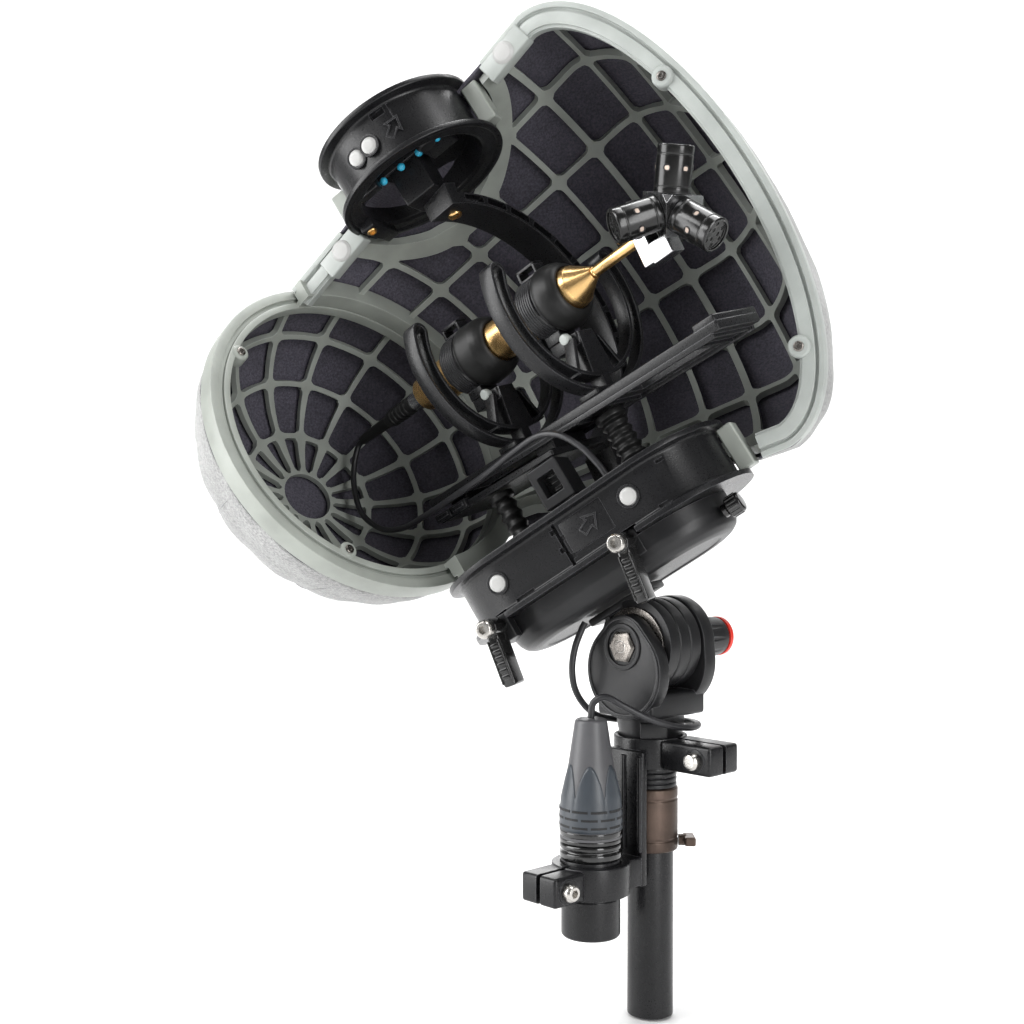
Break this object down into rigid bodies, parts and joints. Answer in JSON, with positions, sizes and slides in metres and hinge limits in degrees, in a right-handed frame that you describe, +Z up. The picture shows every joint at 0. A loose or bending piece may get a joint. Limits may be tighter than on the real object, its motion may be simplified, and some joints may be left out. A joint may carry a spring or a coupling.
{
  "type": "condenser microphone",
  "caption": "Capsule-cluster condenser microphone in lyre clips on a curved spine, inside an opened ribbed fabric windshield with a domed rear cap, on a tilting pole swivel.",
  "frame": {"origin": "centre of the flat lower end of the pole section", "axes": "+Z up along the pole, +X towards the windshield's front, +Y towards the closed far side of the windshield"},
  "size_m": [0.3019, 0.1982, 0.4601],
  "materials": {
    "satin_black": "satin black moulded plastic",
    "gloss_black": "glossy black plastic",
    "black_rubber": "matte black rubber",
    "light_grey": "light grey-green moulded plastic",
    "steel": "bright machined steel",
    "brass": "satin brass",
    "worn_brown": "worn dark brown metal",
    "bright_metal": "bright plated metal",
    "anodised_black": "glossy black anodised metal",
    "blue": "cyan rubber dots on a black strip",
    "red": "red plastic ring",
    "boot_grey": "blue-grey soft boot",
    "fabric": "grey acoustic fabric, near black inside"
  },
  "bodies": {
    "pole": {"stand_pole": "satin_black", "pole_ferrule": "worn_brown", "ferrule_screw": "worn_brown"},
    "swivel_base": {"thread_collar": "satin_black", "swivel_fork": "satin_black", "pivot_bolt": "steel", "friction_disc_near": "steel", "friction_disc_far": "steel", "cable_bracket": "satin_black", "bracket_upper_screw": "steel", "bracket_lower_screw": "steel", "socket_shell": "satin_black", "contact_insert": "black_rubber", "connector_boot": "boot_grey", "outer_cable": "black_rubber"},
    "clamp_knob": {"swivel_knob": "satin_black", "knob_ring": "red"},
    "lock_ring": {"locking_ring": "gloss_black"},
    "front_lyre": {"lyre_front": "satin_black", "clip_front": "satin_black"},
    "rear_lyre": {"lyre_rear": "satin_black", "clip_rear": "satin_black"},
    "front_lever": {"lever_front": "gloss_black"},
    "rear_lever": {"lever_rear": "gloss_black"},
    "cover_knob": {"base_knob": "gloss_black"},
    "main_shell": {"main_shell_frame": "light_grey", "main_shell_fabric": "fabric", "top_clip_front": "light_grey", "top_clip_rear": "light_grey", "bottom_clip_front": "light_grey", "bottom_clip_rear": "light_grey"},
    "rear_pod": {"rear_pod_frame": "light_grey", "rear_pod_fabric": "fabric"},
    "head": {"yoke_arm": "satin_black", "bottom_hub": "satin_black", "hub_base_cover": "satin_black", "lever_front_screw": "steel", "lever_rear_screw": "steel", "top_hub": "satin_black", "bumper_strip": "blue", "spine": "satin_black", "mount_rail": "satin_black", "chassis_plate": "satin_black", "chassis_socket": "satin_black", "isolator_rear": "black_rubber", "isolator_middle": "black_rubber", "isolator_front": "black_rubber", "grommet_front": "black_rubber", "grommet_rear": "black_rubber", "mic_body": "brass", "mic_stem": "brass", "tail_collar": "bright_metal", "tail_boot": "black_rubber", "capsule_block": "bright_metal", "capsule_front_up": "anodised_black", "capsule_front_down": "anodised_black", "capsule_rear_near": "anodised_black", "capsule_rear_far": "anodised_black", "inner_cable": "black_rubber"}
  },
  "joints": [
    {"name": "pole_turn", "type": "hinge", "parent": "pole", "child": "swivel_base", "pos_m": [0, 0, 0.1025], "axis": [0, 0, 1], "range_deg": [-160, 75]},
    {"name": "head_tilt", "type": "hinge", "parent": "swivel_base", "child": "head", "pos_m": [0, 0, 0.1665], "axis": [0.3746, 0.9272, 0], "range_deg": [-30, 75], "deforming": ["outer_cable"]},
    {"name": "clamp_knob_turn", "type": "hinge", "parent": "swivel_base", "child": "clamp_knob", "pos_m": [0, 0, 0.1665], "axis": [0.3746, 0.9272, 0], "range_deg": [-360, 0]},
    {"name": "lock_ring_turn", "type": "hinge", "parent": "swivel_base", "child": "lock_ring", "pos_m": [-0.01493, -0.03603, 0.08], "axis": [0, 0, 1], "range_deg": [0, 90]},
    {"name": "front_lever_swing", "type": "hinge", "parent": "head", "child": "front_lever", "pos_m": [0.0005, -0.038, 0.21326], "axis": [0, -1, 0], "range_deg": [0, 70]},
    {"name": "rear_lever_swing", "type": "hinge", "parent": "head", "child": "rear_lever", "pos_m": [-0.06023, -0.038, 0.17458], "axis": [0, -1, 0], "range_deg": [0, 70]},
    {"name": "cover_knob_turn", "type": "hinge", "parent": "head", "child": "cover_knob", "pos_m": [0.04059, -0.012, 0.22849], "axis": [0.8434, 0, 0.5373], "continuous": true},
    {"name": "front_lyre_slide", "type": "slide", "parent": "head", "child": "front_lyre", "axis": [0.8516, -0.3552, 0.3856], "range_m": [-0.012, 0]},
    {"name": "rear_lyre_slide", "type": "slide", "parent": "head", "child": "rear_lyre", "axis": [0.8516, -0.3552, 0.3856], "range_m": [-0.012, 0]},
    {"name": "main_shell_release", "type": "slide", "parent": "head", "child": "main_shell", "axis": [0, 1, 0], "range_m": [0, 0.06]},
    {"name": "rear_pod_release", "type": "slide", "parent": "main_shell", "child": "rear_pod", "axis": [-0.7925, 0.342, -0.5049], "range_m": [0, 0.05]}
  ]
}
